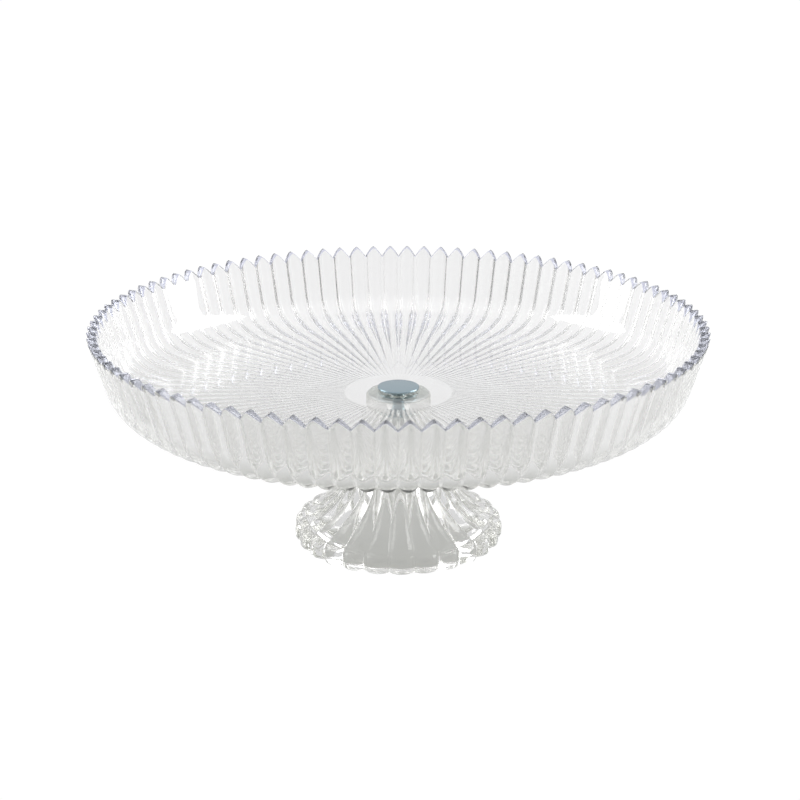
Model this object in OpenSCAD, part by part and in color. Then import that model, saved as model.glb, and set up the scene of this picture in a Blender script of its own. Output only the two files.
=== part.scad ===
// Pressed-glass cake stand: a wide ribbed dish with a toothed rim, bolted through its middle
// to a fluted, hollow foot. Millimetres, +Z up, origin on the table under the middle.

/* [Stand] */
// Diameter of the dish over the tips of its teeth
plate_diameter = 300; // [240:1:360]
// Height from the table to the tips of the teeth
stand_height = 113.5; // [100:0.5:150]
// Number of ribs round the dish, each ending in one tooth
rib_count = 96; // [72:4:104]

/* [Dish] */
// Depth from the tips of the teeth to the inside floor
dish_depth = 36.7; // [30:0.1:48]
// Lean of the wall away from upright, degrees
wall_lean = 16.3; // [8:0.1:24]
// Wall thickness at the rim, rib crest to inside face
wall_thickness = 4.6; // [3.8:0.1:7]
// Floor thickness, rib crest to inside face
floor_thickness = 4.3; // [3.6:0.1:7]
// Height of a tooth above the notch beside it
tooth_height = 5.4; // [3:0.1:7]
// Depth of the grooves between the ribs on the wall
groove_depth = 2.2; // [1:0.1:2.6]
// Radius of the tight part of the bend under the wall
knuckle_radius = 19.2; // [14:0.1:24]
// Radius of the gentle part of the bend that runs into the floor
heel_radius = 56; // [40:1:70]
// Slope at which the two parts of the bend meet, degrees
heel_slope = 18; // [12:1:24]
// Diameter of the plain round hub under the floor, where the ribs stop
hub_diameter = 52.4; // [44:0.1:64]

/* [Foot] */
// Diameter over the flutes at the widest part of the foot
foot_diameter = 105; // [88:0.5:130]
// Diameter of the neck under the dish
neck_diameter = 32; // [29:0.1:40]
// Length of the plain round neck above the flutes
neck_length = 13; // [8:0.5:18]
// Number of flutes round the foot
flute_count = 26; // [18:1:32]
// Height of the upright band round the bottom edge
foot_band = 6; // [4:0.5:9]
// Depth of the flutes at the bottom edge
flute_depth = 3.2; // [0.8:0.1:3.6]
// Thickness of the solid web at the top of the foot
web_thickness = 7; // [5:0.5:10]
// Glass thickness of the foot at its neck
neck_wall = 5.4; // [4.5:0.1:6]
// Extra glass thickness of the foot at its bottom edge
edge_extra = 3.4; // [1:0.1:6]

/* [Fastening] */
// Diameter of the screw's flat round head
head_diameter = 20.6; // [16:0.1:26]
// Thickness of the screw's head
head_thickness = 1.4; // [1:0.1:2.5]
// Thread diameter of the screw
thread_diameter = 6; // [5:0.5:6]
// Length of thread standing out below the nut
thread_spare = 5; // [2:0.5:8]
// Diameter of the hole through the glass
hole_diameter = 7.4; // [7:0.1:9]
// Thickness of the clear washer under the head
head_washer_thickness = 0.6; // [0.4:0.1:1.2]
// Thickness of the clear gasket between dish and foot
gasket_thickness = 0.8; // [0.5:0.1:1.5]
// Thickness of the soft washer under the web
soft_washer_thickness = 1.5; // [1:0.1:2.5]
// Thickness of the steel washer
steel_washer_thickness = 1.2; // [0.8:0.1:2]
// Thickness of the nut
nut_thickness = 5; // [4:0.5:6]
// Width of the nut across its flats
nut_flats = 10; // [9:0.5:11]

/* [Hidden] */
$fn = 120;
// Gap left round the thread inside the nut
thread_gap = 0.06;
// Gap left round the thread inside each washer
washer_gap = 0.4;
// Smallest overlap that makes a cut run clean through
through = 1;
// Levels from the table up
tip_z = stand_height;
floor_z = tip_z - dish_depth;
under_z = floor_z - floor_thickness;
foot_top_z = under_z - gasket_thickness;
web_z = foot_top_z - web_thickness;
soft_z = web_z - soft_washer_thickness;
steel_z = soft_z - steel_washer_thickness;
nut_z = steel_z - nut_thickness;
head_z = floor_z + head_washer_thickness;
// Dish
rim_radius = plate_diameter / 2;
hub_radius = hub_diameter / 2;
points_per_rib = 4;
ring_points = rib_count * points_per_rib;
hub_taper = 1.6;
hub_groove = 0.25;
groove_fall = 2.5;
inside_knuckle = knuckle_radius - 4.2;
inside_heel = heel_radius - 4;
// Foot
points_per_flute = 6;
flute_points = flute_count * points_per_flute;
flute_turn = 180 / rib_count;
neck_radius = neck_diameter / 2;
valley_radius = foot_diameter / 2 - flute_depth;
neck_end_z = foot_top_z - neck_length;
flare_power = 2.8;
flare_steps = 9;
flare_height = neck_end_z - foot_band - 1.5;
edge_round = 1;
hollow_round = 2;
// Washers
head_washer_radius = head_diameter / 2 - 1.2;
gasket_radius = neck_radius - 1;
hollow_top_radius = neck_radius - neck_wall;
soft_washer_radius = hollow_top_radius - hollow_round;
steel_washer_radius = soft_washer_radius - 0.5;

// Two-arc bend that joins a leaning wall to a level floor, as [radius, z] points.
// r0 is the wall's radius at the tooth tips, z0 the floor level.
function bend_centre_z(z0, knuckle, heel) =
    z0 + heel * (1 - cos(heel_slope)) + knuckle * cos(heel_slope);
function wall_end_z(z0, knuckle, heel) =
    bend_centre_z(z0, knuckle, heel) - knuckle * sin(wall_lean);
function wall_r(r0, z) = r0 - (tip_z - z) * tan(wall_lean);
function bend_centre_r(r0, z0, knuckle, heel) =
    wall_r(r0, wall_end_z(z0, knuckle, heel)) - knuckle * cos(wall_lean);
function knuckle_point(r0, z0, knuckle, heel, a) = [
    bend_centre_r(r0, z0, knuckle, heel) + knuckle * cos(a),
    bend_centre_z(z0, knuckle, heel) - knuckle * sin(a)];
function heel_point(r0, z0, knuckle, heel, a) =
    let (c = bend_centre_r(r0, z0, knuckle, heel) - (heel - knuckle) * sin(heel_slope))
    [c + heel * sin(a), z0 + heel * (1 - cos(a))];

// Outside of the dish along a rib crest: [radius, z, slope of the inward normal, groove depth]
function groove_at(r) =
    max(hub_groove, groove_depth * pow(min(1, r / (rim_radius * 0.86)), groove_fall));
wall_low_z = wall_end_z(under_z, knuckle_radius, heel_radius);
wall_levels = [tip_z - tooth_height - 2.6, (tip_z - tooth_height - 2.6 + wall_low_z) / 2, wall_low_z];
crest_wall = [for (z = wall_levels) [wall_r(rim_radius, z), z, wall_lean, groove_depth]];
crest_knuckle = [for (i = [1:4])
    let (a = wall_lean + (90 - heel_slope - wall_lean) * i / 4,
        p = knuckle_point(rim_radius, under_z, knuckle_radius, heel_radius, a))
    [p[0], p[1], a, groove_at(p[0])]];
crest_heel = [for (a = [heel_slope / 2, 0])
    let (p = heel_point(rim_radius, under_z, knuckle_radius, heel_radius, a))
    [p[0], p[1], 90 - a, groove_at(p[0])]];
crest_floor = [
    [hub_radius + hub_taper, under_z, 90, hub_groove],
    [hub_radius, under_z, 90, 0]];
crest_line = concat(crest_wall, crest_knuckle, crest_heel, crest_floor);

// How far a point lies from the crest of its rib: 0 on the crest, 1 in the groove
function from_crest(j, n) = abs(2 * (j % n) / n - 1);
function tooth_drop(u) = tooth_height * u * (0.7 + 0.3 * u);
function rib_angle(j) = 360 * (j - points_per_rib / 2) / ring_points + 180 / rib_count;
function around(r, a, z) = [r * sin(a), -r * cos(a), z];

function rib_ring(s) = [for (j = [0:ring_points - 1])
    let (d = s[3] * pow(from_crest(j, points_per_rib), 2))
    around(s[0] - d * cos(s[2]), rib_angle(j), s[1] + d * sin(s[2]))];
rim_ring = [for (j = [0:ring_points - 1])
    let (u = from_crest(j, points_per_rib), z = tip_z - tooth_drop(u))
    around(wall_r(rim_radius, z) - groove_depth * u * u / cos(wall_lean), rib_angle(j), z)];
roof_ring = [for (j = [0:ring_points - 1])
    around(rim_radius - 3 * wall_thickness, rib_angle(j),
        tip_z - tooth_drop(from_crest(j, points_per_rib)))];

// Faces of a stack of equal rings of n points, closed by a fan at each end. Each cell is cut
// along the diagonal that mirrors the cell on the other side of its rib; m points make one rib.
function cell(a, b, c, d, left) = left ? [[a, b, c], [b, d, c]] : [[a, b, d], [a, d, c]];
function stack_faces(n, m, rings) = concat(
    [for (k = [0:rings - 2], j = [0:n - 1])
        let (i = (j + 1) % n)
        each cell(k * n + j, k * n + i, (k + 1) * n + j, (k + 1) * n + i, j % m < m / 2)],
    [for (j = [0:n - 1]) [rings * n, (j + 1) % n, j]],
    [for (j = [0:n - 1]) [rings * n + 1, (rings - 1) * n + j, (rings - 1) * n + (j + 1) % n]]);
function flat(rings) = [for (ring = rings, p = ring) p];

module ring_stack(rings, per_rib, top, bottom) {
    polyhedron(points = concat(flat(rings), [top, bottom]),
        faces = stack_faces(len(rings[0]), per_rib, len(rings)), convexity = 10);
}

module dish_inside() {
    r0 = rim_radius - wall_thickness;
    rotate_extrude()
        polygon(concat(
            [[0, tip_z + 2 * through], [0, floor_z]],
            [for (i = [0:4]) heel_point(r0, floor_z, inside_knuckle, inside_heel,
                heel_slope * i / 4)],
            [for (i = [7:-1:0]) knuckle_point(r0, floor_z, inside_knuckle, inside_heel,
                wall_lean + (90 - heel_slope - wall_lean) * i / 8)],
            [[wall_r(r0, tip_z + 2 * through), tip_z + 2 * through]]));
}

module plate() {
    color("azure")
    difference() {
        ring_stack(concat([roof_ring, rim_ring], [for (s = crest_line) rib_ring(s)]),
            points_per_rib, [0, 0, tip_z], [0, 0, under_z]);
        dish_inside();
        translate([0, 0, under_z - through])
            cylinder(d = hole_diameter, h = floor_thickness + 2 * through);
    }
}

// Outside of the foot along a groove: [radius, z, flute depth]
function flare_r(t) = neck_radius + (valley_radius - neck_radius) * pow(t, flare_power);
function flare_z(t) = neck_end_z - flare_height * t;
function flute_at(t) = flute_depth * (0.4 + 0.6 * t) * min(1, 4 * t);
foot_line = concat(
    [[neck_radius, foot_top_z, 0], [neck_radius, neck_end_z, 0]],
    [for (i = [1:flare_steps])
        let (t = i / flare_steps * 0.97) [flare_r(t), flare_z(t), flute_at(t)]],
    [[valley_radius, foot_band - 0.5, flute_depth], [valley_radius, edge_round, flute_depth],
        [valley_radius - edge_round / 2, 0, flute_depth]]);
function flute_angle(j) = 360 * (j - points_per_flute / 2) / flute_points + flute_turn;
function flute_ring(s) = [for (j = [0:flute_points - 1])
    around(s[0] + s[2] * (1 - pow(from_crest(j, points_per_flute), 2)), flute_angle(j), s[1])];

// Smooth hollow that follows the flare a glass thickness inside it
hollow_start = (neck_end_z - web_z) / flare_height;
function hollow_r(t) = flare_r(max(0, t)) - neck_wall - edge_extra * max(0, t);
module foot_hollow() {
    rotate_extrude()
        polygon(concat(
            [[0, -through], [0, web_z], [hollow_top_radius - hollow_round, web_z]],
            [for (a = [60, 30, 0]) [hollow_top_radius - hollow_round + hollow_round * cos(a),
                web_z - hollow_round + hollow_round * sin(a)]],
            [for (i = [3:12]) let (t = i / 12 * 0.97) [hollow_r(t), flare_z(t)]],
            [[hollow_r(1), foot_band - 0.5], [hollow_r(1), -through]]));
}

module foot() {
    color("azure")
    difference() {
        ring_stack([for (s = foot_line) flute_ring(s)],
            points_per_flute, [0, 0, foot_top_z], [0, 0, 0]);
        foot_hollow();
        translate([0, 0, web_z - through])
            cylinder(d = hole_diameter, h = web_thickness + 2 * through);
    }
}

module cap_screw() {
    r = head_diameter / 2;
    edge = head_thickness / 3;
    shank = thread_diameter / 2;
    end_z = nut_z - thread_spare;
    color("lightsteelblue")
    rotate_extrude()
        polygon([[0, end_z], [shank - 0.8, end_z], [shank, end_z + 0.8], [shank, head_z],
            [r - edge, head_z], [r, head_z + edge], [r, head_z + 2 * edge],
            [r - edge, head_z + head_thickness], [0, head_z + head_thickness]]);
}

module ring_washer(radius, thickness, z) {
    translate([0, 0, z])
    difference() {
        cylinder(r = radius, h = thickness);
        translate([0, 0, -through])
            cylinder(d = thread_diameter + 2 * washer_gap, h = thickness + 2 * through);
    }
}

module head_washer() {
    color("whitesmoke") ring_washer(head_washer_radius, head_washer_thickness, floor_z);
}

module neck_gasket() {
    color("whitesmoke") ring_washer(gasket_radius, gasket_thickness, foot_top_z);
}

module base_washer() {
    color("whitesmoke") ring_washer(soft_washer_radius, soft_washer_thickness, soft_z);
}

module steel_washer() {
    color("silver") ring_washer(steel_washer_radius, steel_washer_thickness, steel_z);
}

module nut() {
    corner = nut_flats / 2 / cos(30);
    chamfer = corner - nut_flats / 2;
    color("silver")
    difference() {
        intersection() {
            translate([0, 0, nut_z]) cylinder(r = corner, h = nut_thickness, $fn = 6);
            rotate_extrude()
                polygon([[0, nut_z], [nut_flats / 2, nut_z], [corner, nut_z + chamfer / 2],
                    [corner, steel_z - chamfer / 2], [nut_flats / 2, steel_z], [0, steel_z]]);
        }
        translate([0, 0, nut_z - through])
            cylinder(d = thread_diameter + 2 * thread_gap, h = nut_thickness + 2 * through);
    }
}

plate();
foot();
cap_screw();
head_washer();
neck_gasket();
base_washer();
steel_washer();
nut();
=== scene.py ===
"""Pressed-glass cake stand: a ribbed dish, a fluted hollow foot and the screw that joins them.

Shapes are worked out in millimetres on numpy grids and turned to metres when a mesh is made.
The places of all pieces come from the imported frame, and so do the sizes that it can give.
The edge of a hole is bevelled by BEVEL, with a middle step, and a row at GUARD from the hole keeps
the shading of the flat face beside it even.
"""
import logging
import math
from dataclasses import dataclass
from enum import Enum
from typing import ClassVar

import bpy
import numpy as np
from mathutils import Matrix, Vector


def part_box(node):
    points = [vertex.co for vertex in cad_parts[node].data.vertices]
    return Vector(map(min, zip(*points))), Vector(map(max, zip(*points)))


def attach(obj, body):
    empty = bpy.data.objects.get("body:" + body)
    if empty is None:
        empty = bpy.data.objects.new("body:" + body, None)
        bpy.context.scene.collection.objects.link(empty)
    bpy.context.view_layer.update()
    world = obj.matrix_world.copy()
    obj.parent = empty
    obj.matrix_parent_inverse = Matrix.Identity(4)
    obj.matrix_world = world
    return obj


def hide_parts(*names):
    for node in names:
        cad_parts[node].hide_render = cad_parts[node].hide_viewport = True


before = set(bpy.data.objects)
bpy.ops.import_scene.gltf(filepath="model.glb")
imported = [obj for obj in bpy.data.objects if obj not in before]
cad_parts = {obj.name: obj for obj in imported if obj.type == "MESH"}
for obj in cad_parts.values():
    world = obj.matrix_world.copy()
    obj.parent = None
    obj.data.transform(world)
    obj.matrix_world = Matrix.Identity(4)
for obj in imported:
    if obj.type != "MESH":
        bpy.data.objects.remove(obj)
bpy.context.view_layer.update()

METRES = 0.001
BEVEL = 0.4
BEVEL_MIDDLE = 0.12
GUARD = 1.0
LOG = logging.getLogger("cake_stand")

Array = np.ndarray


class Around(Enum):
    """How many points a round surface has along one turn, by how closely it is looked at."""

    COARSE = 96
    FINE = 192


class Ends(Enum):
    """How the first and last rows of a grid are closed."""

    RING = "ring"
    POLES = "poles"


# ---------------------------------------------------------------------------------------------
# Mesh making
# ---------------------------------------------------------------------------------------------


def turn(count: int, start: float = 0.0) -> Array:
    """Give evenly spaced angles for one full turn, in radians.

    Args:
        count: Number of angles.
        start: First angle in radians.

    Returns:
        The angles, without the repeated last one.
    """
    return start + np.arange(count) * (2.0 * math.pi / count)


def swept(radius: Array, height: Array, angle: Array) -> Array:
    """Carry a profile round the Z axis.

    A point at radius r, height z and angle a lies at (r sin a, -r cos a, z), so angle 0 faces
    the front. Radius and height may change with the angle.

    Args:
        radius: Radii in mm, one row for each profile station and one column for each angle, or
            a single column.
        height: Heights in mm, shaped like radius.
        angle: Angles in radians.

    Returns:
        Points in metres, stations by angles by 3.
    """
    shape = (radius.shape[0], angle.size)
    r = np.broadcast_to(radius, shape)
    z = np.broadcast_to(height, shape)
    return np.stack((r * np.sin(angle), -r * np.cos(angle), z), axis=-1) * METRES


def quads_of(rows: int, columns: int, wrap_rows: bool) -> Array:
    """List the four-cornered cells of a grid whose columns close on themselves.

    Args:
        rows: Number of rows.
        columns: Number of columns.
        wrap_rows: True if the last row also joins the first.

    Returns:
        Vertex numbers, one row of four for each cell.
    """
    i = np.arange(rows if wrap_rows else rows - 1)[:, None]
    j = np.arange(columns)[None, :]
    here, after = i * columns, ((i + 1) % rows) * columns
    right = (j + 1) % columns
    corners = (here + j, here + right, after + right, after + j)
    return np.stack(np.broadcast_arrays(*corners), axis=-1).reshape(-1, 4)


def enclosed_volume(points: Array, faces: Array) -> float:
    """Measure a closed surface's signed volume as a sum of tetrahedra to the origin.

    Args:
        points: Vertices, n by 3.
        faces: Vertex numbers, three to a row.

    Returns:
        The volume, positive where the faces point outwards.
    """
    a, b, c = (points[faces[:, k]] for k in range(3))
    return float(np.einsum("ij,ij->i", a, np.cross(b, c)).sum() / 6.0)


def grid_object(name: str, grid: Array, ends: Ends) -> bpy.types.Object:
    """Make a closed, smooth-shaded object from a grid of points.

    Args:
        name: Name of the object and its mesh.
        grid: Points in metres, rows by columns by 3. The columns go once round the axis.
        ends: RING joins the last row to the first; POLES closes both with a point on the axis.

    Returns:
        The object, at the origin, linked to the scene.
    """
    rows, columns, _ = grid.shape
    points = grid.reshape(-1, 3)
    quads = quads_of(rows, columns, ends is Ends.RING)
    triangles = np.empty((0, 3), dtype=int)
    if ends is Ends.POLES:
        j = np.arange(columns)
        after = (j + 1) % columns
        first, last = points.shape[0], points.shape[0] + 1
        last_row = (rows - 1) * columns
        points = np.vstack((points, grid[0].mean(axis=0), grid[-1].mean(axis=0)))
        triangles = np.vstack((
            np.stack((np.full_like(j, first), after, j), axis=-1),
            np.stack((np.full_like(j, last), last_row + j, last_row + after), axis=-1)))
    cut = np.vstack((quads[:, [0, 1, 2]], quads[:, [0, 2, 3]], triangles))
    if enclosed_volume(points, cut) < 0.0:
        quads, triangles = quads[:, ::-1], triangles[:, ::-1]
    corners = np.concatenate((quads.ravel(), triangles.ravel()))
    sizes = np.concatenate((np.full(len(quads), 4), np.full(len(triangles), 3)))
    mesh = bpy.data.meshes.new(name)
    mesh.vertices.add(len(points))
    mesh.vertices.foreach_set("co", points.ravel())
    mesh.loops.add(corners.size)
    mesh.loops.foreach_set("vertex_index", corners)
    mesh.polygons.add(sizes.size)
    mesh.polygons.foreach_set("loop_start", np.cumsum(sizes) - sizes)
    mesh.polygons.foreach_set("use_smooth", np.ones(sizes.size, dtype=bool))
    mesh.update(calc_edges=True)
    mesh.validate()
    made = bpy.data.objects.new(name, mesh)
    bpy.context.scene.collection.objects.link(made)
    return made


def mark_rows(made: bpy.types.Object, name: str, shape: tuple[int, int], rows: slice) -> None:
    """Give an object made from a grid an attribute that is 1 on some rows and 0 elsewhere.

    Args:
        made: The object.
        name: Name of the attribute.
        shape: Rows and columns of its grid.
        rows: The rows that get a 1.
    """
    values = np.zeros(shape, dtype=np.float32)
    values[rows] = 1.0
    marks = made.data.attributes.new(name, "FLOAT", "POINT")
    marks.data.foreach_set("value", values.ravel())


def fillet(corner: tuple[float, float], before: float, after: float, radius: float,
           steps: int = 3) -> list[tuple[float, float]]:
    """Round a profile's right-angled corner.

    The arc runs from the direction angle before to the direction angle after, both seen from
    the arc's centre, and the centre lies a radius inside both sides of the corner.

    Args:
        corner: The corner as (radius, height) in mm.
        before: Direction of the arc's first point, in degrees from outwards.
        after: Direction of the arc's last point, in degrees.
        radius: Radius of the arc in mm.
        steps: Number of pieces the arc is cut into.

    Returns:
        Points of the arc as (radius, height).
    """
    middle = math.radians(0.5 * (before + after))
    centre_r = corner[0] - radius * math.sqrt(2.0) * math.cos(middle)
    centre_z = corner[1] - radius * math.sqrt(2.0) * math.sin(middle)
    angles = np.radians(np.linspace(before, after, steps + 1))
    return [(centre_r + radius * math.cos(a), centre_z + radius * math.sin(a)) for a in angles]


def revolved(name: str, profile: list[tuple[float, float]], ends: Ends,
             around: Around = Around.FINE) -> bpy.types.Object:
    """Spin a profile into a round object.

    Args:
        name: Name of the object.
        profile: (radius, height) points in mm, in order round the section.
        ends: RING for a section clear of the axis, POLES for one that starts and ends on it.
        around: How many points one turn has.

    Returns:
        The object.
    """
    line = np.array(profile)
    return grid_object(name, swept(line[:, :1], line[:, 1:], turn(around.value)), ends)


# ---------------------------------------------------------------------------------------------
# Finishes
# ---------------------------------------------------------------------------------------------


def linear(hex_colour: str) -> tuple[float, float, float, float]:
    """Turn an sRGB hex colour into a linear one with full alpha."""
    values = [int(hex_colour[k:k + 2], 16) / 255.0 for k in (1, 3, 5)]
    rgb = [v / 12.92 if v <= 0.04045 else ((v + 0.055) / 1.055) ** 2.4 for v in values]
    return (rgb[0], rgb[1], rgb[2], 1.0)


def add_node(tree: bpy.types.NodeTree, kind: str, settings: dict | None = None,
             inputs: dict | None = None) -> bpy.types.Node:
    """Add a node with its settings and its inputs.

    Args:
        tree: The tree that gets the node.
        kind: Blender's node type, such as ShaderNodeMapRange.
        settings: Attributes of the node and their values.
        inputs: Input names or numbers, each with a value or with an output to link.

    Returns:
        The node.
    """
    node = tree.nodes.new(kind)
    for key, value in (settings or {}).items():
        setattr(node, key, value)
    for key, value in (inputs or {}).items():
        if isinstance(value, bpy.types.NodeSocket):
            tree.links.new(value, node.inputs[key])
        else:
            node.inputs[key].default_value = value
    return node


def per_metre(size_mm: float) -> float:
    """Give a texture's scale for features of a size in mm on metre coordinates."""
    return 1.0 / (size_mm * METRES)


def new_material(name: str) -> tuple[bpy.types.Material, bpy.types.NodeTree]:
    """Make an empty node material.

    Args:
        name: Name of the material.

    Returns:
        The material and its tree, with no nodes in it.
    """
    material = bpy.data.materials.new(name)
    material.use_nodes = True
    material.node_tree.nodes.clear()
    return material, material.node_tree


def let_lamps_through(tree: bpy.types.NodeTree, glass: bpy.types.NodeSocket,
                      shade: str) -> bpy.types.Node:
    """Let light from lamps and matt surfaces pass straight through a clear solid.

    Args:
        tree: Tree of the material.
        glass: Output of the shader that bends light, which all other rays see.
        shade: Hex colour of what one surface of the solid lets through.

    Returns:
        The mix of both shaders.
    """
    path = add_node(tree, "ShaderNodeLightPath")
    passing = add_node(
        tree, "ShaderNodeMath", {"operation": "MAXIMUM"},
        {0: path.outputs["Is Shadow Ray"], 1: path.outputs["Is Diffuse Ray"]})
    clear = add_node(tree, "ShaderNodeBsdfTransparent", None, {"Color": linear(shade)})
    return add_node(
        tree, "ShaderNodeMixShader", None,
        {0: passing.outputs[0], 1: glass, 2: clear.outputs[0]})


@dataclass(frozen=True)
class PressedGlass:
    """Clear pressed glass with a bright and very slightly wavy surface.

    On rows marked as mould skin it is rougher, which quiets the view through the wall, and on
    the teeth's narrow top it has a faint lavender colour, a painted reflection. Both values are
    given.
    """

    LAND: ClassVar[str] = "rim_land"
    SKIN: ClassVar[str] = "mould_skin"

    name: str
    body: str = "#fbfbfa"
    # Lavender for the teeth's narrow top: a painted reflection of a bluish room, not a colour of the
    # glass.
    edge: str = "#bfc3e0"
    ior: float = 1.52
    roughness: float = 0.012
    mould_roughness: float = 0.14
    wave_mm: float = 16.0
    wave_height_mm: float = 0.014
    absorbed: str = "#e8e8e0"
    density: float = 6.0
    shade: str = "#eeefee"

    def material(self) -> bpy.types.Material:
        """Build the glass with its wavy skin, a lavender reflection painted on the teeth's top and
        body absorption.
        """
        material, tree = new_material(self.name)
        where = add_node(tree, "ShaderNodeTexCoord")
        land = add_node(tree, "ShaderNodeAttribute", {"attribute_name": self.LAND})
        # Painted reflection: the land rows get the lavender edge colour in place of the bluish room
        # they reflect.
        painted_land_reflection = add_node(
            tree, "ShaderNodeMix", {"data_type": "RGBA"},
            {"Factor": land.outputs["Fac"], 6: linear(self.body), 7: linear(self.edge)})
        moulded = add_node(tree, "ShaderNodeAttribute", {"attribute_name": self.SKIN})
        gloss = add_node(
            tree, "ShaderNodeMapRange", None,
            {"Value": moulded.outputs["Fac"], "To Min": self.roughness,
             "To Max": self.mould_roughness})
        waves = add_node(
            tree, "ShaderNodeTexNoise", {"noise_dimensions": "3D"},
            {"Vector": where.outputs["Object"], "Scale": per_metre(self.wave_mm),
             "Detail": 1.0, "Roughness": 0.4})
        skin = add_node(
            tree, "ShaderNodeBump", None,
            {"Height": waves.outputs[0], "Strength": 1.0,
             "Distance": self.wave_height_mm * METRES})
        glass = add_node(
            tree, "ShaderNodeBsdfPrincipled", None,
            {"Base Color": painted_land_reflection.outputs[2], "Roughness": gloss.outputs[0], "IOR": self.ior,
             "Transmission Weight": 1.0, "Normal": skin.outputs[0]})
        both = let_lamps_through(tree, glass.outputs[0], self.shade)
        body = add_node(
            tree, "ShaderNodeVolumeAbsorption", None,
            {"Color": linear(self.absorbed), "Density": self.density})
        add_node(tree, "ShaderNodeOutputMaterial", None,
                 {"Surface": both.outputs[0], "Volume": body.outputs[0]})
        return material


@dataclass(frozen=True)
class ChromePlate:
    """Nickel-chrome plate on a turned brass head.

    The plating is bright and slightly blue, over the fine rings that the turning tool left.
    """

    name: str = "polished_chrome_plate"
    colour: str = "#a6b9c1"
    roughness: float = 0.14
    ring_mm: float = 0.35
    ring_height_mm: float = 0.004

    def material(self) -> bpy.types.Material:
        """Build the plate with rings about the Z axis and a few cloudy patches."""
        material, tree = new_material(self.name)
        where = add_node(tree, "ShaderNodeTexCoord")
        rings = add_node(
            tree, "ShaderNodeTexWave",
            {"wave_type": "RINGS", "rings_direction": "Z", "wave_profile": "SIN"},
            {"Vector": where.outputs["Object"], "Scale": per_metre(self.ring_mm) / 20.0,
             "Distortion": 0.4})
        cloud = add_node(
            tree, "ShaderNodeTexNoise", None,
            {"Vector": where.outputs["Object"], "Scale": per_metre(4.0), "Detail": 3.0})
        gloss = add_node(
            tree, "ShaderNodeMapRange", None,
            {"Value": cloud.outputs[0], "To Min": self.roughness * 0.7,
             "To Max": self.roughness * 1.3})
        skin = add_node(
            tree, "ShaderNodeBump", None,
            {"Height": rings.outputs[1], "Distance": self.ring_height_mm * METRES})
        metal = add_node(
            tree, "ShaderNodeBsdfPrincipled", None,
            {"Base Color": linear(self.colour), "Metallic": 1.0,
             "Roughness": gloss.outputs[0], "Normal": skin.outputs[0]})
        add_node(tree, "ShaderNodeOutputMaterial", None, {"Surface": metal.outputs[0]})
        return material


@dataclass(frozen=True)
class ZincPlate:
    """Rolled steel with bright zinc plate.

    The zinc is a soft grey with faint crystals of a slightly different gloss.
    """

    name: str = "zinc_plated_steel"
    colour: str = "#dcdfe1"
    roughness: float = 0.32
    crystal_mm: float = 1.2

    def material(self) -> bpy.types.Material:
        """Build the plate with its crystals."""
        material, tree = new_material(self.name)
        where = add_node(tree, "ShaderNodeTexCoord")
        crystals = add_node(
            tree, "ShaderNodeTexVoronoi", None,
            {"Vector": where.outputs["Object"], "Scale": per_metre(self.crystal_mm)})
        gloss = add_node(
            tree, "ShaderNodeMapRange", None,
            {"Value": crystals.outputs["Distance"], "To Min": self.roughness * 0.8,
             "To Max": self.roughness * 1.25})
        shade = add_node(
            tree, "ShaderNodeMix", {"data_type": "RGBA"},
            {"Factor": crystals.outputs["Distance"], 6: linear(self.colour),
             7: linear("#c6c8c6")})
        metal = add_node(
            tree, "ShaderNodeBsdfPrincipled", None,
            {"Base Color": shade.outputs[2], "Metallic": 1.0, "Roughness": gloss.outputs[0]})
        add_node(tree, "ShaderNodeOutputMaterial", None, {"Surface": metal.outputs[0]})
        return material


@dataclass(frozen=True)
class ClearSilicone:
    """Clear silicone rubber, die cut from moulded sheet.

    Its index is set far below that of real rubber, about 1.41, so that a ring pressed on the
    glass does not show as a film of air. Its surface has a fine grain.
    """

    name: str = "clear_silicone_sheet"
    colour: str = "#e9eeee"
    ior: float = 1.08
    roughness: float = 0.05
    grain_mm: float = 0.5

    def material(self) -> bpy.types.Material:
        """Build the rubber with its grain."""
        material, tree = new_material(self.name)
        where = add_node(tree, "ShaderNodeTexCoord")
        grain = add_node(
            tree, "ShaderNodeTexNoise", None,
            {"Vector": where.outputs["Object"], "Scale": per_metre(self.grain_mm)})
        skin = add_node(
            tree, "ShaderNodeBump", None,
            {"Height": grain.outputs[0], "Strength": 0.5, "Distance": 0.02 * METRES})
        rubber = add_node(
            tree, "ShaderNodeBsdfPrincipled", None,
            {"Base Color": linear(self.colour), "Roughness": self.roughness, "IOR": self.ior,
             "Transmission Weight": 1.0, "Normal": skin.outputs[0]})
        shown = let_lamps_through(tree, rubber.outputs[0], "#e4e6e6")
        add_node(tree, "ShaderNodeOutputMaterial", None, {"Surface": shown.outputs[0]})
        return material


# ---------------------------------------------------------------------------------------------
# Sizes from the frame
# ---------------------------------------------------------------------------------------------


@dataclass(frozen=True)
class Extent:
    """The lowest and highest corner of a CAD node, in mm."""

    low: tuple[float, float, float]
    high: tuple[float, float, float]

    @classmethod
    def of(cls, node: str) -> "Extent":
        """Read a node's extent from the frame."""
        low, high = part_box(node)
        return cls(tuple(v / METRES for v in low), tuple(v / METRES for v in high))

    @property
    def radius(self) -> float:
        """Half the larger of the widths along X and Y."""
        return max(self.high[0] - self.low[0], self.high[1] - self.low[1]) / 2.0


def from_crest(count: int, per_rib: int) -> Array:
    """Say how far each column lies from the crest of its rib.

    The columns of one rib run from groove to groove. The value is 1 in the groove, falls
    evenly to 0 on the crest and rises again.

    Args:
        count: Number of columns.
        per_rib: Columns of one rib.

    Returns:
        One value for each column.
    """
    return np.abs(2.0 * (np.arange(count) % per_rib) / per_rib - 1.0)


# ---------------------------------------------------------------------------------------------
# Pieces
# ---------------------------------------------------------------------------------------------


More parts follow.
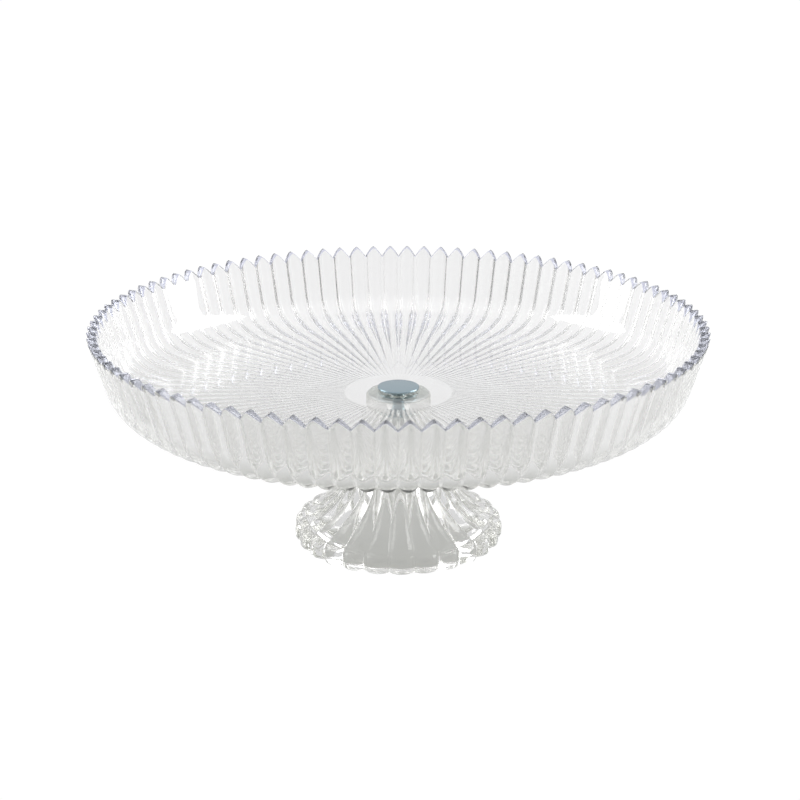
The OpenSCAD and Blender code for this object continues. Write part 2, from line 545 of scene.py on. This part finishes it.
@dataclass
class RibbedDish:
    """The pressed dish: smooth inside, ribbed outside, with a tooth on every rib."""

    glass: PressedGlass
    body: str = "dish"
    ribs: int = 96
    points_per_rib: int = 12
    lean: float = math.radians(16.3)
    wall: float = 4.6
    tooth: float = 5.4
    groove: float = 2.2
    knuckle: float = 19.2
    heel: float = 56.0
    heel_slope: float = math.radians(18.0)
    hub_radius: float = 26.2
    hub_taper: float = 1.6
    hub_groove: float = 0.09
    groove_fall: float = 3.0
    hole_radius: float = 3.7
    inside_knuckle: float = 15.0
    inside_heel: float = 52.0
    edge_round: float = 0.55
    floor_rows: int = 7
    inside_rows: int = 19
    climb_rows: int = 4
    wall_rows: int = 3
    flat_rows: int = 4
    floor_rings: tuple[float, float] = (30.0, 75.0)
    hub_ring: float = 15.0
    tip_soft: float = 0.07
    below_notch: float = 2.6
    full_groove_from: float = 0.86

    def __post_init__(self) -> None:
        """Take the levels and the rim's radius from the frame."""
        extent = Extent.of("plate")
        self.tip_z = extent.high[2]
        self.under_z = extent.low[2]
        self.floor_z = Extent.of("head_washer").low[2]
        self.rim_radius = extent.radius / math.cos(math.pi / self.ribs)
        self.teeth_end = self.tip_z - self.tooth - self.below_notch
        self.columns = self.ribs * self.points_per_rib
        self.angle = turn(self.columns)
        self.u = from_crest(self.columns, self.points_per_rib)

    def wall_r(self, radius: float, z: Array | float) -> Array | float:
        """Give a leaning wall's radius at a height, from its radius at the tooth tips."""
        return radius - (self.tip_z - z) * math.tan(self.lean)

    def bend(self, radius: float, level: float, knuckle: float, heel: float,
             knuckle_steps: int, heel_steps: int) -> Array:
        """Join a leaning wall to a level floor by a tight and then a gentle arc.

        Both arcs are tangent to what they meet. Each point also carries the angle between the
        outward level direction and the surface's normal, turned downwards.

        Args:
            radius: The wall's radius at the tooth tips.
            level: Height of the floor.
            knuckle: Radius of the tight arc.
            heel: Radius of the gentle arc.
            knuckle_steps: Pieces of the tight arc.
            heel_steps: Pieces of the gentle arc.

        Returns:
            Rows of (radius, height, normal angle), from the wall to the floor.
        """
        centre_z = level + heel * (1 - math.cos(self.heel_slope)) \
            + knuckle * math.cos(self.heel_slope)
        wall_end = centre_z - knuckle * math.sin(self.lean)
        centre_r = self.wall_r(radius, wall_end) - knuckle * math.cos(self.lean)
        a = np.linspace(self.lean, math.pi / 2 - self.heel_slope, knuckle_steps + 1)
        tight = np.stack((centre_r + knuckle * np.cos(a), centre_z - knuckle * np.sin(a), a), -1)
        b = np.linspace(self.heel_slope, 0.0, heel_steps + 1)[1:]
        heel_r = centre_r - (heel - knuckle) * math.sin(self.heel_slope)
        gentle = np.stack(
            (heel_r + heel * np.sin(b), level + heel * (1 - np.cos(b)), math.pi / 2 - b), -1)
        return np.vstack((tight, gentle))

    def groove_at(self, radius: Array) -> Array:
        """Give the groove's depth at a radius: full on the wall, shallower to the middle."""
        share = np.minimum(1.0, radius / (self.rim_radius * self.full_groove_from))
        return np.maximum(self.hub_groove, self.groove * share ** self.groove_fall)

    def groove_share(self) -> Array:
        """Give each column's share of the groove's depth: round on the crest, sharp between."""
        return self.u ** 2

    def tooth_top(self) -> Array:
        """Give the height of the rim at each column: pointed arches with a soft tip."""
        u = np.sqrt(self.u ** 2 + self.tip_soft ** 2) - self.tip_soft
        return self.tip_z - self.tooth * u * (0.7 + 0.3 * u)

    def ribbed_rows(self, line: Array, depth: Array) -> tuple[Array, Array]:
        """Sink grooves into a crest line along its normals.

        Args:
            line: Rows of (radius, height, normal angle) along a rib's crest.
            depth: Depth of the grooves at each row.

        Returns:
            Radii and heights, rows by columns.
        """
        sink = depth[:, None] * self.groove_share()[None, :]
        r, z, a = (line[:, k][:, None] for k in range(3))
        return r - sink * np.cos(a), z + sink * np.sin(a)

    def rim_rows(self) -> tuple[Array, Array]:
        """Give the rim from the inner wall's top, over the teeth, down to below the notches.

        Each row holds one place across the wall: the two edges are quarter rounds and the
        land between them is level along the radius.

        Returns:
            Radii and heights, rows by columns.
        """
        top = self.tooth_top()
        e = self.edge_round
        sink = self.groove * self.groove_share() / math.cos(self.lean)
        inner = self.wall_r(self.rim_radius - self.wall, top - e)
        outer = self.wall_r(self.rim_radius, top - e) - sink
        rows_r, rows_z = [], []
        for a in np.radians((0.0, 30.0, 60.0, 90.0)):
            rows_r.append(inner + e * (1 - math.cos(a)))
            rows_z.append(top - e * (1 - math.sin(a)))
        rows_r.append((inner + outer) / 2)
        rows_z.append(top)
        for a in np.radians((90.0, 60.0, 30.0, 0.0)):
            rows_r.append(outer - e * (1 - math.cos(a)))
            rows_z.append(top - e * (1 - math.sin(a)))
        for share in (0.25, 0.5, 0.75, 1.0):
            z = (top - e) * (1 - share) + self.teeth_end * share
            rows_r.append(self.wall_r(self.rim_radius, z) - sink)
            rows_z.append(z)
        return np.array(rows_r), np.array(rows_z)

    def land_rows(self) -> slice:
        """Give the grid rows that lie on the teeth's narrow top face."""
        first = self.floor_rows + self.inside_rows + self.climb_rows
        return slice(first + 1, first + 8)

    def skin_rows(self) -> slice:
        """Give the grid rows on the outside of the wall, from the teeth to the bend."""
        first = self.floor_rows + self.inside_rows + self.climb_rows
        return slice(first + 9, first + 17)

    def grid(self) -> Array:
        """Work out the whole surface, once round the section from the hole's top edge."""
        ones = np.ones(self.columns)
        hole = self.hole_radius
        floor_ring = [(hole, self.under_z + BEVEL), (hole, self.floor_z - BEVEL),
                      (hole + BEVEL_MIDDLE, self.floor_z - BEVEL_MIDDLE),
                      (hole + BEVEL, self.floor_z), (hole + GUARD, self.floor_z)]
        floor_ring += [(radius, self.floor_z) for radius in self.floor_rings]
        inside = self.bend(self.rim_radius - self.wall, self.floor_z,
                           self.inside_knuckle, self.inside_heel, 12, 6)[::-1]
        start = inside[-1, 1]
        climb = np.linspace(0.0, 1.0, self.climb_rows + 2)[1:-1]
        top = self.tooth_top() - self.edge_round
        wall_z = start + climb[:, None] * (top - start)[None, :]
        wall_r = self.wall_r(self.rim_radius - self.wall, wall_z)
        rim_r, rim_z = self.rim_rows()
        outside = self.bend(self.rim_radius, self.under_z, self.knuckle, self.heel, 14, 7)
        z = np.linspace(self.teeth_end, outside[0, 1], self.wall_rows + 2)[1:-1]
        walls = np.stack((self.wall_r(self.rim_radius, z), z, np.full_like(z, self.lean)), -1)
        floor_r = np.linspace(
            outside[-1, 0], self.hub_radius + self.hub_taper, self.flat_rows + 1)[1:]
        floor = np.stack((floor_r, np.full_like(floor_r, self.under_z),
                          np.full_like(floor_r, math.pi / 2)), -1)
        line = np.vstack((walls, outside, floor))
        depth = self.groove_at(line[:, 0])
        depth[:self.wall_rows] = self.groove
        rib_r, rib_z = self.ribbed_rows(line, depth)
        fade = np.array([0.75, 0.25, 0.0])
        hub_r = self.hub_radius + self.hub_taper * np.array([0.66, 0.33, 0.0])
        hub_line = np.stack((hub_r, np.full_like(hub_r, self.under_z),
                             np.full_like(hub_r, math.pi / 2)), -1)
        fade_r, fade_z = self.ribbed_rows(hub_line, self.hub_groove * fade)
        under = [(self.hub_ring, self.under_z), (hole + GUARD, self.under_z),
                 (hole + BEVEL, self.under_z),
                 (hole + BEVEL_MIDDLE, self.under_z + BEVEL_MIDDLE)]

        def level(ring: list[tuple[float, float]], k: int) -> Array:
            """Spread one number of each point over all columns."""
            return np.array([p[k] for p in ring])[:, None] * ones

        radius = np.vstack((level(floor_ring, 0), inside[:, 0][:, None] * ones, wall_r, rim_r,
                            rib_r, fade_r, level(under, 0)))
        height = np.vstack((level(floor_ring, 1), inside[:, 1][:, None] * ones, wall_z, rim_z,
                            rib_z, fade_z, level(under, 1)))
        return swept(radius, height, self.angle)

    def build(self) -> bpy.types.Object:
        """Make the dish, dress it and put it on its body."""
        grid = self.grid()
        dish = grid_object("ribbed_dish", grid, Ends.RING)
        mark_rows(dish, PressedGlass.LAND, grid.shape[:2], self.land_rows())
        mark_rows(dish, PressedGlass.SKIN, grid.shape[:2], self.skin_rows())
        dish.data.materials.append(self.glass.material())
        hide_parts("plate")
        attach(dish, self.body)
        return dish


@dataclass
class FlutedFoot:
    """The pressed foot: a round neck, a fluted flare and a thick scalloped edge, hollow below."""

    glass: PressedGlass
    body: str = "base"
    flutes: int = 26
    points_per_flute: int = 24
    neck_length: float = 13.0
    flute: float = 3.2
    crease: float = 0.4
    band: float = 6.0
    web: float = 7.0
    neck_wall: float = 5.4
    edge_extra: float = 3.4
    flare_power: float = 2.8
    hole_radius: float = 3.7
    flare_end: float = 0.97
    edge_round: float = 2.4
    web_round: float = 2.0
    turned: float = math.radians(1.875)

    def __post_init__(self) -> None:
        """Take the levels and radii from the frame."""
        extent = Extent.of("foot")
        self.top_z = extent.high[2]
        self.valley_radius = extent.radius - self.flute
        self.neck_radius = Extent.of("neck_gasket").radius + 1.0
        self.web_z = self.top_z - self.web
        self.neck_end = self.top_z - self.neck_length
        self.flare_height = self.neck_end - self.band - 1.5
        self.columns = self.flutes * self.points_per_flute
        self.angle = turn(self.columns, self.turned - math.pi / self.flutes)
        self.u = from_crest(self.columns, self.points_per_flute)

    def flare_r(self, t: Array) -> Array:
        """Give the groove's radius at a share t of the flare, a power curve."""
        return self.neck_radius + (self.valley_radius - self.neck_radius) * t ** self.flare_power

    def outside(self) -> tuple[Array, Array, Array]:
        """Give the outside along a groove, from the neck's top to the bottom edge.

        Returns:
            Radii, heights and flute depths, one for each row.
        """
        e = 0.5
        rows = [(self.neck_radius - e - 0.6, self.top_z, 0.0),
                (self.neck_radius - e, self.top_z, 0.0),
                (self.neck_radius - 0.3 * e, self.top_z - 0.3 * e, 0.0),
                (self.neck_radius, self.top_z - e, 0.0)]
        rows += [(self.neck_radius, z, 0.0)
                 for z in np.linspace(self.top_z - e, self.neck_end, 4)[1:]]
        for t in np.linspace(0.0, self.flare_end, 31)[1:]:
            depth = self.flute * (0.4 + 0.6 * t) * min(1.0, 4.0 * t)
            rows.append((float(self.flare_r(t)), self.neck_end - self.flare_height * t, depth))
        start_r, start_z = rows[-1][0], rows[-1][1]
        end_r, end_z = self.valley_radius, self.band - 0.5
        for a in np.radians((20.0, 40.0, 60.0, 78.0)):
            rows.append((start_r + (end_r - start_r) * math.sin(a),
                         end_z + (start_z - end_z) * math.cos(a), self.flute))
        rows += [(end_r, z, self.flute) for z in np.linspace(end_z, self.edge_round, 4)]
        r = self.edge_round
        rows += [(end_r - r * 0.5 * (1 - math.cos(a)), r * (1 - math.sin(a)), self.flute)
                 for a in np.radians((30.0, 60.0, 90.0))]
        rows.append((end_r - 0.5 * r - 0.8, 0.0, self.flute))
        table = np.array(rows)
        return table[:, 0], table[:, 1], table[:, 2]

    def hollow_at(self, t: float) -> tuple[float, float]:
        """Give the inside's radius and height at a share t of the flare, in mm."""
        return (float(self.flare_r(t)) - self.neck_wall - self.edge_extra * t,
                self.neck_end - self.flare_height * t)

    def hollow(self) -> list[tuple[float, float]]:
        """Give the inside from the bottom edge up to the hole through the web.

        Near the bottom the inside leaves the flare's curve and eases to upright along a
        parabola that is tangent to both.
        """
        top_r = self.neck_radius - self.neck_wall
        low_r = float(self.flare_r(1.0)) - self.neck_wall - self.edge_extra
        rows = [(low_r + 1.6, 0.0), (low_r + 0.8, 0.0), (low_r + 0.25, 0.25), (low_r, 0.8)]
        begin, ease = 3.0 / 12.0 * self.flare_end, 0.82
        free_r, free_z = self.hollow_at(ease)
        next_r, next_z = self.hollow_at(ease - 0.01)
        turn_z = free_z + (low_r - free_r) * (free_z - next_z) / (free_r - next_r)
        for q in np.linspace(0.0, 1.0, 9)[1:]:
            rows.append((low_r * (1 - q * q) + free_r * q * q,
                         0.8 * (1 - q) ** 2 + 2 * turn_z * q * (1 - q) + free_z * q * q))
        rows += [self.hollow_at(t) for t in np.linspace(ease, begin, 20)[1:]]
        bend = self.web_round
        rows.append((top_r, self.web_z - 3.0 * bend))
        rows += [(top_r - bend + bend * math.cos(a), self.web_z - bend + bend * math.sin(a))
                 for a in np.radians(np.linspace(0.0, 90.0, 7))]
        hole = self.hole_radius
        rows += [(hole + GUARD, self.web_z), (hole + BEVEL, self.web_z),
                 (hole + BEVEL_MIDDLE, self.web_z + BEVEL_MIDDLE),
                 (hole, self.web_z + BEVEL), (hole, self.top_z - BEVEL),
                 (hole + BEVEL_MIDDLE, self.top_z - BEVEL_MIDDLE),
                 (hole + BEVEL, self.top_z), (hole + GUARD, self.top_z)]
        return rows

    def grid(self) -> Array:
        """Work out the whole surface, once round the section."""
        r, z, depth = self.outside()
        arch = ((1.0 - self.crease) * (1.0 - self.u ** 2)
                + self.crease * np.sqrt(1.0 - self.u ** 2))
        out_r = r[:, None] + depth[:, None] * arch[None, :]
        out_z = np.broadcast_to(z[:, None], out_r.shape)
        inside = np.array(self.hollow())
        ones = np.ones(self.columns)
        radius = np.vstack((out_r, inside[:, :1] * ones))
        height = np.vstack((out_z, inside[:, 1:] * ones))
        return swept(radius, height, self.angle)

    def build(self) -> bpy.types.Object:
        """Make the foot, dress it and put it on its body."""
        foot = grid_object("fluted_foot", self.grid(), Ends.RING)
        foot.data.materials.append(self.glass.material())
        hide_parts("foot")
        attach(foot, self.body)
        return foot


@dataclass
class CapScrew:
    """The turned screw: a flat round head and a threaded shank."""

    plate: ChromePlate
    body: str = "screw"
    shank_radius: float = 3.0
    pitch: float = 1.0
    thread_depth: float = 0.55
    head_thickness: float = 1.4
    crown: float = 0.2
    plain_length: float = 1.5
    rows_per_pitch: int = 8

    def __post_init__(self) -> None:
        """Take the head's radius and the ends of the screw from the frame."""
        extent = Extent.of("cap_screw")
        self.head_radius = extent.radius
        self.end_z = extent.low[2]
        self.top_z = extent.high[2]

    def shank_rows(self, angle: Array) -> tuple[Array, Array]:
        """Give the thread: a helix of rounded ridges that fades out below the head.

        The ridge's height is a raised cosine of the height over the pitch, in turns, less the
        column's angle, so it climbs one pitch in each turn, right handed.

        Args:
            angle: Angles of the columns in radians.

        Returns:
            Radii and heights, rows by columns.
        """
        under_head = self.top_z - self.head_thickness
        z = np.arange(self.end_z + 0.8, under_head - self.plain_length,
                      self.pitch / self.rows_per_pitch)
        phase = 2 * math.pi * z[:, None] / self.pitch - angle[None, :]
        valley = 0.5 - 0.5 * np.cos(phase)
        fade = np.clip((z[-1] - z) / self.pitch, 0.0, 1.0)[:, None]
        radius = self.shank_radius - self.thread_depth * valley * fade
        return radius, np.broadcast_to(z[:, None], radius.shape)

    def grid(self) -> Array:
        """Work out the screw from the tip of its shank to the middle of its head."""
        angle = turn(Around.COARSE.value)
        ones = np.ones(angle.size)
        tip = [(0.4, self.end_z), (self.shank_radius - 1.0, self.end_z),
               (self.shank_radius - self.thread_depth, self.end_z + 0.5)]
        under_head = self.top_z - self.head_thickness
        r, e = self.head_radius, 0.45
        head = [(self.shank_radius, under_head - self.plain_length + 0.3),
                (self.shank_radius, under_head - 0.2), (self.shank_radius + 0.2, under_head),
                (r - e, under_head)]
        head += fillet((r, under_head), -90.0, 0.0, e)
        head += fillet((r, self.top_z - self.crown), 0.0, 90.0, e, 5)
        head += [(r * q, self.top_z - self.crown * q * q) for q in (0.8, 0.6, 0.45, 0.3, 0.15, 0.03)]
        shank_r, shank_z = self.shank_rows(angle)
        low, high = np.array(tip), np.array(head)
        radius = np.vstack((low[:, :1] * ones, shank_r, high[:, :1] * ones))
        height = np.vstack((low[:, 1:] * ones, shank_z, high[:, 1:] * ones))
        return swept(radius, height, angle)

    def build(self) -> bpy.types.Object:
        """Make the screw, dress it and put it on its body."""
        screw = grid_object("threaded_cap_screw", self.grid(), Ends.POLES)
        screw.data.materials.append(self.plate.material())
        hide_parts("cap_screw")
        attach(screw, self.body)
        return screw


@dataclass
class RingWasher:
    """A flat ring with softened edges that stands for one of the CAD washers."""

    name: str
    node: str
    body: str
    slot: str
    finish: ClearSilicone | ZincPlate
    hole_radius: float = 3.4
    edge: float = 0.15
    gap: float = 0.02

    def build(self) -> bpy.types.Object:
        """Make the washer, a hair clear of the pieces on both sides of it."""
        extent = Extent.of(self.node)
        low, high = extent.low[2] + self.gap, extent.high[2] - self.gap
        outer, inner = extent.radius, self.hole_radius
        section = fillet((outer, low), -90.0, 0.0, self.edge)
        section += fillet((outer, high), 0.0, 90.0, self.edge)
        section += fillet((inner, high), 90.0, 180.0, self.edge)
        section += fillet((inner, low), 180.0, 270.0, self.edge)
        washer = revolved(self.name, section, Ends.RING)
        washer.data.materials.append(self.finish.material())
        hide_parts(self.node)
        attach(washer, self.body)
        return washer


@dataclass
class HexNut:
    """The hexagon nut, chamfered at both faces, with a hole cut to clear the thread."""

    zinc: ZincPlate
    body: str = "nut"
    flats: float = 10.0
    hole_radius: float = 3.06
    corner_round: float = 0.25

    def hexagon(self, angle: Array) -> Array:
        """Give a hexagon's radius at each angle, with its corners cut off.

        The distance to the nearest flat over the cosine of the angle from its middle gives a
        true hexagon, and no radius goes beyond a limit a little short of the corner.

        Args:
            angle: Angles in radians.

        Returns:
            Radii in mm.
        """
        sector = math.pi / 3.0
        off = (angle + sector / 2.0) % sector - sector / 2.0
        sharp = self.flats / 2.0 / np.cos(off)
        limit = self.flats / 2.0 / math.cos(sector / 2.0) - self.corner_round
        return np.minimum(sharp, limit)

    def build(self) -> bpy.types.Object:
        """Make the nut, dress it and put it on its body."""
        extent = Extent.of("nut")
        low, high = extent.low[2] + 0.02, extent.high[2] - 0.02
        angle = turn(Around.FINE.value, math.pi / 6.0)
        hexagon = self.hexagon(angle)
        flat = self.flats / 2.0
        slope = 0.5
        inner = np.full_like(angle, self.hole_radius)
        mouth = inner + 0.45
        chamfer = np.minimum(hexagon, flat - 0.1)
        drop = (hexagon - chamfer) * slope
        rows = [(mouth, low), (chamfer, low), (hexagon - 0.04, low + drop + 0.02),
                (hexagon, low + drop + 0.12), (hexagon, high - drop - 0.12),
                (hexagon - 0.04, high - drop - 0.02), (chamfer, high), (mouth, high),
                (inner + 0.05, high - 0.4), (inner, high - 0.5), (inner, low + 0.5),
                (inner + 0.05, low + 0.4)]
        radius = np.array([r * np.ones_like(angle) for r, _ in rows])
        height = np.array([z * np.ones_like(angle) for _, z in rows])
        nut = grid_object("hexagon_nut", swept(radius, height, angle), Ends.RING)
        nut.data.materials.append(self.zinc.material())
        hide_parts("nut")
        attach(nut, self.body)
        return nut


# ---------------------------------------------------------------------------------------------
# Studio
# ---------------------------------------------------------------------------------------------


@dataclass
class Studio:
    """A plain pale table in a pale grey room with two large soft lamps, and the camera.

    Straight on, the table and the room are shown as flat white. What the glass gathers from
    them is greyer. Both tones are set for the picture.
    """

    table_radius: float = 9.0
    camera_back: float = 0.7404
    camera_side: float = 0.0008
    camera_above_rim: float = 0.2151
    camera_down: float = math.radians(19.17)
    lens_mm: float = 71.06
    shown_white: float = 1.02
    table_colour: str = "#ebebeb"
    table_glow: float = 0.05
    room: str = "#e4e4e6"
    room_low: float = 0.95
    room_high: float = 1.1
    camera_side_dim: float = 0.3
    light_steps: int = 32
    table_drop_mm: float = 0.3
    table_under_mm: float = 20.0
    aim_height: float = 0.06

    def white_to_camera(self, tree: bpy.types.NodeTree, kind: str,
                        other: bpy.types.NodeSocket) -> bpy.types.Node:
        """Show plain white straight on and another shader to every other ray.

        Args:
            tree: Tree of the material or the room.
            kind: Type of the white node, an emission or a background.
            other: Output of the shader that all other rays see.

        Returns:
            The mix of both.
        """
        path = add_node(tree, "ShaderNodeLightPath")
        white = add_node(tree, kind, None, {0: linear("#ffffff"), 1: self.shown_white})
        return add_node(tree, "ShaderNodeMixShader", None,
                        {0: path.outputs["Is Camera Ray"], 1: other, 2: white.outputs[0]})

    def table(self) -> None:
        """Make the plain table a hair under the foot."""
        angle = turn(Around.COARSE.value)
        radius = np.array([0.05, self.table_radius])[:, None]
        rows = swept(radius / METRES, np.full((2, 1), -self.table_drop_mm), angle)
        lower = swept(radius[::-1] / METRES, np.full((2, 1), -self.table_under_mm), angle)
        table = grid_object("white_table", np.vstack((rows, lower)), Ends.POLES)
        material, tree = new_material("matt_white_laminate")
        where = add_node(tree, "ShaderNodeTexCoord")
        grain = add_node(tree, "ShaderNodeTexNoise", None,
                         {"Vector": where.outputs["Object"], "Scale": per_metre(3.0)})
        skin = add_node(tree, "ShaderNodeBump", None,
                        {"Height": grain.outputs[0], "Strength": 0.1, "Distance": 0.0001})
        laminate = add_node(tree, "ShaderNodeBsdfPrincipled", None,
                            {"Base Color": linear(self.table_colour), "Roughness": 0.9,
                             "Specular IOR Level": 0.1, "Normal": skin.outputs[0],
                             "Emission Color": linear("#ffffff"),
                             "Emission Strength": self.table_glow})
        shown = self.white_to_camera(tree, "ShaderNodeEmission", laminate.outputs[0])
        add_node(tree, "ShaderNodeOutputMaterial", None, {"Surface": shown.outputs[0]})
        table.data.materials.append(material)

    def room_light(self) -> None:
        """Make a pale grey room, a little brighter overhead and dark on the camera's side."""
        world = bpy.data.worlds.new("pale_room")
        bpy.context.scene.world = world
        world.use_nodes = True
        tree = world.node_tree
        tree.nodes.clear()
        where = add_node(tree, "ShaderNodeTexCoord")
        parts = add_node(tree, "ShaderNodeSeparateXYZ", inputs={0: where.outputs["Generated"]})
        above = add_node(tree, "ShaderNodeMapRange", {"interpolation_type": "SMOOTHSTEP"},
                         {"Value": parts.outputs["Z"], "From Min": 0.35, "From Max": 0.95,
                          "To Min": self.room_low, "To Max": self.room_high})
        behind = add_node(tree, "ShaderNodeMapRange", {"interpolation_type": "SMOOTHSTEP"},
                          {"Value": parts.outputs["Y"], "From Min": -0.9, "From Max": -0.3,
                           "To Min": self.camera_side_dim, "To Max": 1.0})
        level = add_node(tree, "ShaderNodeMath", {"operation": "MULTIPLY"},
                         {0: above.outputs[0], 1: behind.outputs[0]})
        back = add_node(tree, "ShaderNodeBackground", None,
                        {"Color": linear(self.room), "Strength": level.outputs[0]})
        shown = self.white_to_camera(tree, "ShaderNodeBackground", back.outputs[0])
        add_node(tree, "ShaderNodeOutputWorld", None, {"Surface": shown.outputs[0]})

    def lamp(self, name: str, place: tuple[float, float, float], size: tuple[float, float],
             watts: float) -> None:
        """Add a soft lamp that faces the stand.

        Args:
            name: Name of the lamp.
            place: Its place in metres.
            size: Its width and height in metres.
            watts: Its power.
        """
        light = bpy.data.lights.new(name, "AREA")
        light.shape = "ELLIPSE"
        light.size, light.size_y = size
        light.energy = watts
        lamp = bpy.data.objects.new(name, light)
        bpy.context.scene.collection.objects.link(lamp)
        away = np.array(place) - np.array((0.0, 0.0, self.aim_height))
        length = float(np.linalg.norm(away))
        lamp.location = place
        lamp.rotation_euler = (math.acos(away[2] / length), 0.0,
                               math.atan2(away[1], away[0]) + math.pi / 2)

    def camera(self, rim_z: float) -> None:
        """Make the camera.

        Args:
            rim_z: Height of the tooth tips in metres.
        """
        data = bpy.data.cameras.new("camera")
        data.lens = self.lens_mm
        data.sensor_width = 36.0
        data.clip_start = 0.01
        data.clip_end = 100.0
        camera = bpy.data.objects.new("camera", data)
        bpy.context.scene.collection.objects.link(camera)
        camera.location = (self.camera_side, -self.camera_back, rim_z + self.camera_above_rim)
        camera.rotation_euler = (math.pi / 2 - self.camera_down, 0.0, 0.0)
        bpy.context.scene.camera = camera

    def build(self, rim_z: float) -> None:
        """Make the table, the room, the lamps and the camera."""
        self.table()
        self.room_light()
        self.lamp("key_softbox", (2.0, 0.5, 1.2), (1.2, 2.1), 26.0)
        self.lamp("fill_softbox", (-2.0, 0.5, 1.2), (1.2, 2.1), 18.0)
        self.camera(rim_z)
        scene = bpy.context.scene
        scene.view_settings.view_transform = "Standard"
        scene.cycles.max_bounces = self.light_steps
        scene.cycles.transmission_bounces = self.light_steps
        scene.cycles.glossy_bounces = self.light_steps
        scene.cycles.transparent_max_bounces = self.light_steps


def report(piece: bpy.types.Object) -> None:
    """Log a piece's name and number of faces."""
    LOG.info("%s: %d faces", piece.name, len(piece.data.polygons))


def main() -> None:
    """Build every piece, then the studio."""
    logging.basicConfig(level=logging.INFO, format="%(name)s: %(message)s")
    tip = Extent.of("plate").high[2]
    dish_glass = PressedGlass("pressed_soda_lime_dish", shade="#d2d3cf")
    foot_glass = PressedGlass("pressed_soda_lime_foot", shade="#fbfbfb")
    silicone, zinc = ClearSilicone(), ZincPlate()
    pieces = (
        RibbedDish(dish_glass),
        FlutedFoot(foot_glass),
        CapScrew(ChromePlate()),
        RingWasher("clear_head_washer", "head_washer", "screw", "clear_washer", silicone),
        RingWasher("clear_neck_gasket", "neck_gasket", "base", "clear_washer", silicone),
        RingWasher("soft_base_washer", "base_washer", "washers", "clear_washer", silicone),
        RingWasher("zinc_washer", "steel_washer", "washers", "zinc_steel", zinc),
        HexNut(zinc))
    for piece in pieces:
        report(piece.build())
    Studio().build(tip * METRES)


if __name__ == "__main__":
    main()
